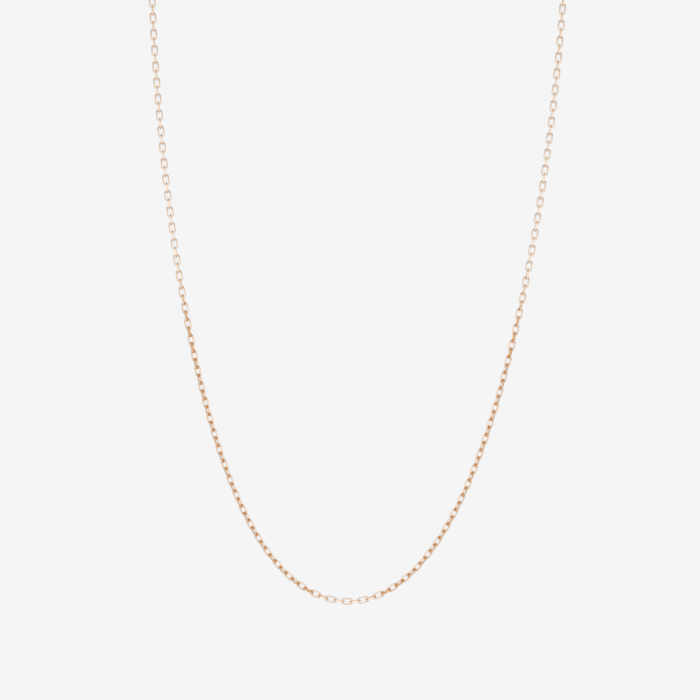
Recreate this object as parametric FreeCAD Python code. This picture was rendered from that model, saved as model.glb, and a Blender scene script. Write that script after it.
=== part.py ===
"""Fine cable-chain necklace with a spring-ring clasp, laid flat in a U with the clasp undone.

X runs across the two strands, Y from the front of the neck to the clasp, Z up. Lengths are in mm,
angles in degrees. Every link is a solid of its own, and five links in a row share one file.
"""
import FreeCAD, Part
import math
import os

# Chain: the wire is eight-sided, which gives each link its diamond-cut flats.
link_pitch = 1.78
link_width = 1.36
wire_size = 0.35
seat_gap = 0.045
links_per_piece = 5
pieces_per_strand = 24

# Curve of the necklace: a catenary's slope near the front, and a lean inwards towards the clasp.
front_radius = 16.1
half_length = 224.0
end_lean = 18.0
lean_power = 4

# Turn of the links about the chain's own line: none at the front, most down each side, then none.
side_turn = 30.0
turn_grows_over = 15.0
turn_fades_from = 60.0
turn_fades_over = 36.0

# Rings at the two ends.
jump_ring_wire = 0.40
jump_ring_outside = 2.20
jump_ring_slit = 2.0
end_ring_wire = 0.55
end_ring_outside = 4.00

# Spring-ring clasp. Angles are counted about the ring, from the side away from the chain.
clasp_outside = 6.00
clasp_tube = 1.20
clasp_wall = 0.15
bolt_clearance = 0.05
mouth_from = 20.0
mouth_to = 75.0
bolt_entry = 6.0
bolt_tail = 68.0
knob_at = 87.0
knob_travel = 60.0
knob_pin = 0.30
knob_head = 0.56
knob_reach = 0.42
slot_clearance = 0.04
eye_wire = 0.45
eye_outside = 1.90
eye_sink = 0.08

# Sizes that follow from the ones above.
link_length = link_pitch + 2 * wire_size + seat_gap
bow_radius = (link_width - wire_size) / 2
rail_length = link_length - link_width
half_link = (link_length - wire_size) / 2
clasp_radius = (clasp_outside - clasp_tube) / 2
bore = clasp_tube - 2 * clasp_wall
bolt_size = bore - 2 * bolt_clearance

X = FreeCAD.Vector(1, 0, 0)
Y = FreeCAD.Vector(0, 1, 0)
Z = FreeCAD.Vector(0, 0, 1)
ORIGIN = FreeCAD.Vector(0, 0, 0)


def polar(radius, angle):
    """Point in the XY plane at an angle counted from +X."""
    turn = math.radians(angle)
    return FreeCAD.Vector(radius * math.cos(turn), radius * math.sin(turn), 0)


def wire_section(centre):
    """Regular eight-sided face across the Y direction, wire_size across its flats."""
    corner = wire_size / 2 / math.cos(math.pi / 8)
    points = []
    for side in range(9):
        turn = math.pi / 8 + side * math.pi / 4
        points.append(centre + X * (corner * math.cos(turn)) + Z * (corner * math.sin(turn)))
    return Part.Face(Part.makePolygon(points))


def make_link():
    """One link about the origin, its length along X and its plane level: two bows and two rails."""
    half_rail = rail_length / 2
    solid = None
    for end in (1, -1):
        section = wire_section(FreeCAD.Vector(bow_radius, 0, 0))
        bow = section.revolve(ORIGIN, Z, 180)
        rail = section.extrude(Y * -half_rail)
        far_rail = rail.mirror(ORIGIN, X)
        half = bow.fuse([rail, far_rail])
        half.translate(Y * half_rail)
        half.rotate(ORIGIN, Z, -90 * end)
        solid = half if solid is None else solid.fuse(half)
    return solid.removeSplitter().Solids[0]


def make_ring(outside, wire, slit=0.0):
    """Round-wire ring about Z. A slit, in degrees, is the butt join on its +Y side."""
    radius = (outside - wire) / 2
    section = Part.Face(Part.Wire(Part.makeCircle(wire / 2, X * radius, Y)))
    if slit == 0:
        return section.revolve(ORIGIN, Z, 360)
    ring = section.revolve(ORIGIN, Z, 360 - slit)
    ring.rotate(ORIGIN, Z, 90 + slit / 2)
    return ring


def tube_arc(diameter, start, stop):
    """Solid round bar bent about Z at the clasp's radius."""
    section = Part.Face(Part.Wire(Part.makeCircle(diameter / 2, X * clasp_radius, Y)))
    bar = section.revolve(ORIGIN, Z, stop - start)
    bar.rotate(ORIGIN, Z, start)
    return bar


def make_clasp_case():
    """Hollow tube with an open mouth and, on its outside, the slot that the knob runs in."""
    wall = tube_arc(clasp_tube, mouth_to, 360 + mouth_from)
    wall = wall.cut(tube_arc(bore, mouth_to - 5, 360 + mouth_from + 5))
    slot_width = knob_pin + 2 * slot_clearance
    side = math.degrees(slot_width / 2 / (clasp_radius + clasp_tube / 2))
    corner = FreeCAD.Vector(clasp_radius, 0, -slot_width / 2)
    section = Part.makePlane(clasp_tube, slot_width, corner, Y * -1, X)
    slot = section.revolve(ORIGIN, Z, knob_travel + 2 * side)
    slot.rotate(ORIGIN, Z, knob_at - side)
    return wall.cut(slot).Solids[0]


def make_clasp_bolt():
    """Curved tongue that shuts the mouth, with a round-headed pin for the thumbnail."""
    bar = tube_arc(bolt_size, mouth_from - bolt_entry, mouth_to + bolt_tail)
    outward = polar(1, knob_at)
    pin_length = clasp_tube / 2 + knob_reach
    pin = Part.makeCylinder(knob_pin / 2, pin_length, outward * clasp_radius, outward)
    head = Part.makeSphere(knob_head / 2, outward * (clasp_radius + pin_length))
    return bar.fuse([pin, head]).removeSplitter().Solids[0]


def make_clasp_eye():
    """Small ring soldered to the outside of the case, cut to the tube where the two meet."""
    radius = (eye_outside - eye_wire) / 2
    centre = clasp_radius + clasp_tube / 2 + radius + eye_wire / 2 - eye_sink
    eye = make_ring(eye_outside, eye_wire)
    eye.translate(X * -centre)
    return eye.cut(tube_arc(clasp_tube, 150, 210)).Solids[0]


def smooth_step(value):
    """0 below 0, 1 above 1, and level at both ends between."""
    value = min(max(value, 0), 1)
    return value * value * (3 - 2 * value)


def slope(distance):
    """Angle of the chain from X, at a distance along it from the front."""
    lean = end_lean * (distance / half_length) ** lean_power
    return math.degrees(math.atan(distance / front_radius)) + lean


def turn(distance):
    """Turn of the links about the chain's line, at a distance along it from the front."""
    fade = smooth_step((distance - turn_fades_from) / turn_fades_over)
    return side_turn * smooth_step(distance / turn_grows_over) * (1 - fade)


class Strand:
    """Walks outwards along one strand and places each link or ring in the one before it."""

    def __init__(self, side):
        self.side = side
        self.count = 0
        self.distance = half_link
        self.pivot = X * (side * half_link)
        self.wire = wire_size

    def place(self, shape, half_size, wire):
        """Copy of a shape whose length runs along X, seated with the clearance in the last wire."""
        overlap = (self.wire + wire) / 2 + seat_gap
        reach = 2 * half_size - overlap
        middle = self.distance + reach / 2
        angle = math.radians(slope(middle))
        along = FreeCAD.Vector(self.side * math.cos(angle), math.sin(angle), 0)
        across = Z.cross(along)
        self.count += 1
        lay = math.radians(self.side * turn(middle) + 90 * (self.count % 2))
        width = across * math.cos(lay) + Z * math.sin(lay)
        seat = FreeCAD.Placement(
            self.pivot + along * (half_size - overlap),
            FreeCAD.Rotation(along, width, along.cross(width), "XYZ"),
        )
        placed = shape.copy()
        placed.Placement = seat
        self.pivot = self.pivot + along * reach
        self.distance += reach
        self.wire = wire
        return placed, seat


nodes = {}
link = make_link()
front = [link.copy()]
clasp_eye_radius = (eye_outside - eye_wire) / 2
clasp_half = clasp_radius + clasp_tube / 2 + 2 * clasp_eye_radius + eye_wire / 2 - eye_sink

for side, name in ((-1, "left"), (1, "right")):
    strand = Strand(side)
    for extra in range(links_per_piece // 2):
        front.append(strand.place(link, half_link, wire_size)[0])
    for piece in range(1, pieces_per_strand + 1):
        group = [strand.place(link, half_link, wire_size)[0] for each in range(links_per_piece)]
        nodes["%s_links_%02d" % (name, piece)] = group
    jump_ring = make_ring(jump_ring_outside, jump_ring_wire, jump_ring_slit)
    jump_half = (jump_ring_outside - jump_ring_wire) / 2
    if side == 1:
        nodes["end_jump_ring"] = [strand.place(jump_ring, jump_half, jump_ring_wire)[0]]
        end_ring = make_ring(end_ring_outside, end_ring_wire)
        end_half = (end_ring_outside - end_ring_wire) / 2
        nodes["end_ring"] = [strand.place(end_ring, end_half, end_ring_wire)[0]]
    else:
        nodes["clasp_jump_ring"] = [strand.place(jump_ring, jump_half, jump_ring_wire)[0]]
        eye, seat = strand.place(make_clasp_eye(), clasp_half / 2, eye_wire)
        middle = FreeCAD.Placement(X * (clasp_half / 2), FreeCAD.Rotation())
        seat = seat.multiply(middle)
        for label, shape in (
            ("clasp_eye", eye),
            ("clasp_case", make_clasp_case()),
            ("clasp_bolt", make_clasp_bolt()),
        ):
            shape.Placement = seat
            nodes[label] = [shape]
nodes["front_links"] = front

# The origin goes to the middle of the box, at its lowest level.
everything = Part.makeCompound([solid for group in nodes.values() for solid in group])
box = everything.optimalBoundingBox(False, False)
shift = FreeCAD.Vector(-box.Center.x, -box.Center.y, -box.ZMin)
os.makedirs("parts", exist_ok=True)
for name, group in nodes.items():
    for solid in group:
        solid.translate(shift)
    shape = group[0] if len(group) == 1 else Part.makeCompound(group)
    shape.exportStep("parts/%s.step" % name)
print("box %.2f x %.2f x %.2f mm" % (box.XLength, box.YLength, box.ZLength))
print("%d files, link %.3f x %.2f mm" % (len(nodes), link_length, link_width))
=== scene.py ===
import math

import bpy
import numpy as np
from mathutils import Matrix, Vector


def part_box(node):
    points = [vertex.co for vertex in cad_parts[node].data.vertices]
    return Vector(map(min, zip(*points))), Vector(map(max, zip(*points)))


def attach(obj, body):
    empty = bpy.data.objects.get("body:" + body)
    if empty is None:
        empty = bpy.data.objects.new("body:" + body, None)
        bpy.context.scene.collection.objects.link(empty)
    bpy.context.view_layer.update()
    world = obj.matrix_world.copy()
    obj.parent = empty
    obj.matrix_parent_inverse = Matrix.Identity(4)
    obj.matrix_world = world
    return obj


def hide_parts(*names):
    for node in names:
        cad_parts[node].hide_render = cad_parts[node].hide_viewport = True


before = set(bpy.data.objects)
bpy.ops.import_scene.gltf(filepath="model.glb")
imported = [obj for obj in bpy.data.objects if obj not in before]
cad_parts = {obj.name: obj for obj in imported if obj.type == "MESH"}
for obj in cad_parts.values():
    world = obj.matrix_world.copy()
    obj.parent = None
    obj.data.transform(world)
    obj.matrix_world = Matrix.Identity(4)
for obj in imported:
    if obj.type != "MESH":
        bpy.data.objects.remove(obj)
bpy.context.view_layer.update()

mm = 0.001


class Socket:
    # wraps a node socket, so that shader maths reads as plain arithmetic
    def __init__(self, shader, socket):
        self.shader = shader
        self.socket = socket

    def maths(self, operation, first, second):
        return self.shader.node("ShaderNodeMath", {"operation": operation}, {0: first, 1: second})

    def __add__(self, other):
        return self.maths("ADD", self, other)

    def __radd__(self, other):
        return self.maths("ADD", other, self)

    def __mul__(self, other):
        return self.maths("MULTIPLY", self, other)

    def __rmul__(self, other):
        return self.maths("MULTIPLY", other, self)


class Shader:
    # one material or world, cleared and ready for nodes
    def __init__(self, owner):
        owner.use_nodes = True
        self.tree = owner.node_tree
        self.tree.nodes.clear()

    def node(self, kind, settings=None, inputs=None, output=0):
        made = self.tree.nodes.new(kind)
        for name, value in (settings or {}).items():
            if name == "stops":
                ramp = made.color_ramp
                while len(ramp.elements) < len(value):
                    ramp.elements.new(0.5)
                for element, (place, colour) in zip(ramp.elements, value):
                    element.position = place
                    element.color = colour
            else:
                setattr(made, name, value)
        for name, value in (inputs or {}).items():
            if isinstance(value, Socket):
                self.tree.links.new(value.socket, made.inputs[name])
            else:
                made.inputs[name].default_value = value
        return Socket(self, made.outputs[output]) if made.outputs else None

    def mix(self, factor, first, second):
        return self.node(
            "ShaderNodeMix", {"data_type": "RGBA"}, {0: factor, 6: first, 7: second}, output=2
        )


def grey(value):
    return (value, value, value, 1)


roseGold = {
    "clean": (1.0, 0.49, 0.10, 1),
    "deep": (1.0, 0.42, 0.07, 1),
    # painted shade for the seats inside the bows, where the next link sits
    "seatTone": (0.38, 0.27, 0.18, 1),
    "grainScale": 900.0,
    "grainDetail": 5.0,
    "grainRough": 0.7,
    "patchScale": 260.0,
    "patchDetail": 3.0,
    "patchRough": 0.6,
    "roughLow": 0.07,
    "roughHigh": 0.20,
    "seatRough": 0.10,      # the seats, where the painted shade lies, are also duller by this much
    "seatLeast": 0.75,      # share of the seat's painted shade that shows where the patches are palest
    "bump": 0.05,
    "bumpDepth": 0.00002,
}


def makeRoseGold(name, finish, paintsSeatShade):
    # polished alloy: slow colour patches, fine polishing grain, and painted shade on the seats inside
    # the bows, where the next link sits
    material = bpy.data.materials.new(name)
    shader = Shader(material)
    place = shader.node("ShaderNodeTexCoord", output=3)
    patches = shader.node(
        "ShaderNodeTexNoise", None,
        {"Vector": place, "Scale": finish["patchScale"], "Detail": finish["patchDetail"],
         "Roughness": finish["patchRough"]},
    )
    grain = shader.node(
        "ShaderNodeTexNoise", None,
        {"Vector": place, "Scale": finish["grainScale"], "Detail": finish["grainDetail"],
         "Roughness": finish["grainRough"]},
    )
    colour = shader.mix(patches, finish["clean"], finish["deep"])
    roughness = finish["roughLow"] + grain * (finish["roughHigh"] - finish["roughLow"])
    if paintsSeatShade:
        # painted shade on the seats, strongest where the links rest in each other
        seat = shader.node("ShaderNodeAttribute", {"attribute_name": "seat"}, output=2)
        least = finish["seatLeast"]
        colour = shader.mix(seat * (least + (1 - least) * patches), colour, finish["seatTone"])
        roughness = roughness + seat * finish["seatRough"]
    bump = shader.node(
        "ShaderNodeBump", None,
        {"Strength": finish["bump"], "Distance": finish["bumpDepth"], "Height": grain},
    )
    surface = shader.node(
        "ShaderNodeBsdfPrincipled", None,
        {"Base Color": colour, "Metallic": 1.0, "Roughness": roughness, "Normal": bump},
    )
    shader.node("ShaderNodeOutputMaterial", None, {"Surface": surface})
    return material


def dress(piece, material):
    piece.data.materials.clear()
    piece.data.materials.append(material)


# the clasp and rings are a little duller than the links
fittingFinish = dict(roseGold, roughLow=0.10, roughHigh=0.24)
linkGold = makeRoseGold("linkGold", roseGold, True)
fittingGold = makeRoseGold("fittingGold", fittingFinish, False)
print("finishes made")


linkShape = {
    "around": 20,          # corners round the wire
    "bowSteps": 14,        # steps round one bow
    "railSteps": 3,
    "flankCut": 0.035,     # depth of the flat on each flank, as a share of the fuller half width
    "swellOut": 1.80,      # the drawn wire is fuller on its outside,
    "swellRail": 1.48,     # and across the link along the straight rails,
    "swellBow": 1.12,      # but hardly at the tips of the bows, where the next link swings
    "seatStart": 0.30,     # share of the half length where the seat's painted shade begins
    "seatPower": 0.6,
    "seatMean": 0.8,       # the painted shade's strength round the wire, strongest on its inside
    "seatSwing": 0.2,
    "sharpAngle": 28.0,
    "mergeGrid": 1e-7,     # metres, corners closer than this are one
    "cornerPlaces": 8,     # decimals kept when a solid's corners are counted
}


def looseParts(mesh):
    # places of the vertices of each separate solid of a node
    count = len(mesh.vertices)
    places = np.empty(count * 3)
    mesh.vertices.foreach_get("co", places)
    places = places.reshape(-1, 3)
    cells = np.round(places / linkShape["mergeGrid"]).astype(np.int64)
    merged = np.unique(cells, axis=0, return_inverse=True)[1].ravel()
    parent = np.arange(merged.max() + 1)

    def root(item):
        while parent[item] != item:
            parent[item] = parent[parent[item]]
            item = parent[item]
        return item

    for edge in mesh.edges:
        first, second = (root(merged[corner]) for corner in edge.vertices)
        parent[first] = second
    roots = np.array([root(item) for item in merged])
    return [places[roots == each] for each in np.unique(roots)]


def linkFrame(points):
    # middle, length, width and normal directions, and half sizes, of one link solid
    corners = np.unique(np.round(points, linkShape["cornerPlaces"]), axis=0)
    middle = (corners.min(axis=0) + corners.max(axis=0)) / 2
    for repeat in range(2):  # the second pass starts from the corrected middle
        spread = np.cov((corners - middle).T)
        axes = np.linalg.eigh(spread)[1][:, ::-1].T
        along = (corners - middle) @ axes.T
        middle = middle + (along.max(axis=0) + along.min(axis=0)) / 2 @ axes
    halves = np.abs((corners - middle) @ axes.T).max(axis=0)
    if np.linalg.det(axes) < 0:
        axes[2] = -axes[2]
    return middle, axes, halves


def linkMesh(halves):
    # one link in its own axes: a rounded wire along a stadium, flat on both flanks
    halfLength, halfWidth, radius = halves
    bow = halfWidth - radius
    rail = halfLength - halfWidth
    path = []
    for end in (1, -1):
        for step in range(linkShape["bowSteps"]):
            angle = math.pi * (step / linkShape["bowSteps"] - 0.5)
            path.append((end * (rail + bow * math.cos(angle)), end * bow * math.sin(angle),
                         end * math.cos(angle), end * math.sin(angle)))
        for step in range(linkShape["railSteps"]):
            share = step / linkShape["railSteps"]
            path.append((end * rail * (1 - 2 * share), end * bow, 0, end))
    around = linkShape["around"]
    limit = (bow + radius * linkShape["swellOut"]) * (1 - linkShape["flankCut"])
    vertices, seatShades = [], []
    for x, y, outX, outY in path:
        swell = linkShape["swellRail"] + (linkShape["swellBow"] - linkShape["swellRail"]) * abs(outX)
        for corner in range(around):
            angle = 2 * math.pi * (corner + 0.5) / around
            reach = radius * math.cos(angle)
            if reach > 0:
                reach = reach * linkShape["swellOut"]
            across = max(-limit, min(limit, y + outY * reach))
            level = radius * swell * math.sin(angle)
            vertices.append((x + outX * reach, across, level))
            # the seat's painted shade grows towards the bow tips and is strongest on the wire's
            # inside
            share = (abs(x) / halfLength - linkShape["seatStart"]) / (1 - linkShape["seatStart"])
            strength = linkShape["seatMean"] - linkShape["seatSwing"] * math.cos(angle)
            seatShades.append(max(0, min(1, share)) ** linkShape["seatPower"] * strength)
    faces = []
    steps = len(path)
    for step in range(steps):
        following = (step + 1) % steps
        for corner in range(around):
            beside = (corner + 1) % around
            faces.append((step * around + corner, following * around + corner,
                          following * around + beside, step * around + beside))
    return np.array(vertices), np.array(faces), np.array(seatShades)


def makeLinks(node, body):
    # the smooth links of one piece, each laid over its own solid
    vertices, faces, seatShades = [], [], []
    start = 0
    for points in looseParts(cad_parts[node].data):
        middle, axes, halves = linkFrame(points)
        shape, sides, seatShadeTones = linkMesh(halves)
        vertices.append(shape @ axes + middle)
        faces.append(sides + start)
        seatShades.append(seatShadeTones)
        start += len(shape)
    parts = node.split("_")
    name = parts[0] + "Links" + "".join(parts[2:])
    mesh = bpy.data.meshes.new(name)
    mesh.from_pydata(np.concatenate(vertices).tolist(), [], np.concatenate(faces).tolist())
    mesh.validate()
    # the painted shade of the seats, one strength per corner
    seat = mesh.attributes.new("seat", "FLOAT", "POINT")
    seat.data.foreach_set("value", np.concatenate(seatShades))
    mesh.shade_smooth()
    mesh.set_sharp_from_angle(angle=math.radians(linkShape["sharpAngle"]))
    piece = bpy.data.objects.new(name, mesh)
    bpy.context.scene.collection.objects.link(piece)
    dress(piece, linkGold)
    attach(piece, body)
    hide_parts(node)


for node in sorted(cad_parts):
    if "_links" in node:
        makeLinks(node, node)
print("links made")


fittingShape = {
    "weld": 0.000001,
    "segments": 2,
    "angle": 50.0,
}
# width of each piece's rounded edges, in millimetres, none where it is round already
fittings = {
    "clasp_case": 0.035,
    "clasp_eye": 0.0,
    "clasp_bolt": 0.02,
    "clasp_jump_ring": 0.03,
    "end_jump_ring": 0.03,
    "end_ring": 0.0,
}
for node, edge in fittings.items():
    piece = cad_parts[node]
    dress(piece, fittingGold)
    if edge:
        weld = piece.modifiers.new("weld", "WELD")
        weld.merge_threshold = fittingShape["weld"]
        bevel = piece.modifiers.new("edge", "BEVEL")
        bevel.width = edge * mm
        bevel.segments = fittingShape["segments"]
        bevel.limit_method = "ANGLE"
        bevel.angle_limit = math.radians(fittingShape["angle"])
print("clasp and rings dressed")


studio = {
    "floorDrop": 0.20,         # metres below the necklace
    "floorSize": 6.0,
    "floorGlow": 7.8,
    "boxHeight": 1.15,
    "boxSize": 0.80,
    "boxPower": 24.0,
    "boxForward": 0.27,        # the light stands nearer the front of the necklace
    "lens": 200.0,
    "sensor": 36.0,
    "clipStart": 0.01,
    "frameWidth": 0.154,
    "above": 0.0559,           # from the lowest point of the chain up to the middle of the view
    "across": -0.0003,
    "roll": 1.0,
    "floorBounce": 1.4,
    "worldStops": [
        (0.0, grey(1.4)), (0.50, grey(1.7)), (0.62, grey(1.4)),
        (0.84, grey(1.2)), (0.92, grey(1.6)), (1.0, grey(2.2)),
    ],
}


def backdropGlow(shader, bounce):
    # the backdrop is lit brightly behind the piece, and flags keep most of that light off the metal
    seen = shader.node("ShaderNodeLightPath", output=0)
    return seen * (studio["floorGlow"] - bounce) + bounce


def makeFloor():
    half = studio["floorSize"] / 2
    corners = [(-half, -half, 0), (half, -half, 0), (half, half, 0), (-half, half, 0)]
    mesh = bpy.data.meshes.new("floor")
    mesh.from_pydata(corners, [], [(0, 1, 2, 3)])
    floor = bpy.data.objects.new("floor", mesh)
    floor.location.z = -studio["floorDrop"]
    bpy.context.scene.collection.objects.link(floor)
    material = bpy.data.materials.new("paleFloor")
    shader = Shader(material)
    strength = backdropGlow(shader, studio["floorBounce"])
    glow = shader.node("ShaderNodeEmission", None, {"Color": grey(1.0), "Strength": strength})
    shader.node("ShaderNodeOutputMaterial", None, {"Surface": glow})
    dress(floor, material)


def makeWorld():
    # brightest overhead and a little brighter at the horizon than in between, for bronze edges
    world = bpy.data.worlds.new("studio")
    bpy.context.scene.world = world
    shader = Shader(world)
    direction = shader.node("ShaderNodeTexCoord", output=0)
    height = shader.node("ShaderNodeSeparateXYZ", None, {0: direction}, output=2)
    tone = shader.node("ShaderNodeValToRGB", {"stops": studio["worldStops"]}, {0: height * 0.5 + 0.5})
    seen = shader.node("ShaderNodeLightPath", output=0)
    colour = shader.mix(seen, tone, grey(studio["floorGlow"]))
    sky = shader.node("ShaderNodeBackground", None, {"Color": colour, "Strength": 1.0})
    shader.node("ShaderNodeOutputWorld", None, {"Surface": sky})


def makeSoftbox(aim):
    light = bpy.data.lights.new("softbox", "AREA")
    light.shape = "SQUARE"
    light.size = studio["boxSize"]
    light.energy = studio["boxPower"]
    lamp = bpy.data.objects.new("softbox", light)
    lamp.location = (aim.x, aim.y - studio["boxForward"], studio["boxHeight"])
    bpy.context.scene.collection.objects.link(lamp)


def makeCamera(aim):
    data = bpy.data.cameras.new("camera")
    data.lens = studio["lens"]
    data.sensor_width = studio["sensor"]
    data.clip_start = studio["clipStart"]
    camera = bpy.data.objects.new("camera", data)
    distance = studio["frameWidth"] * studio["lens"] / studio["sensor"]
    camera.location = (aim.x, aim.y, distance)
    camera.rotation_euler = (0, 0, math.radians(studio["roll"]))
    bpy.context.scene.collection.objects.link(camera)
    bpy.context.scene.camera = camera


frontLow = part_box("front_links")[0]
aim = Vector((studio["across"], frontLow[1] + studio["above"], 0))
makeFloor()
makeWorld()
makeSoftbox(aim)
makeCamera(aim)
print("studio made")
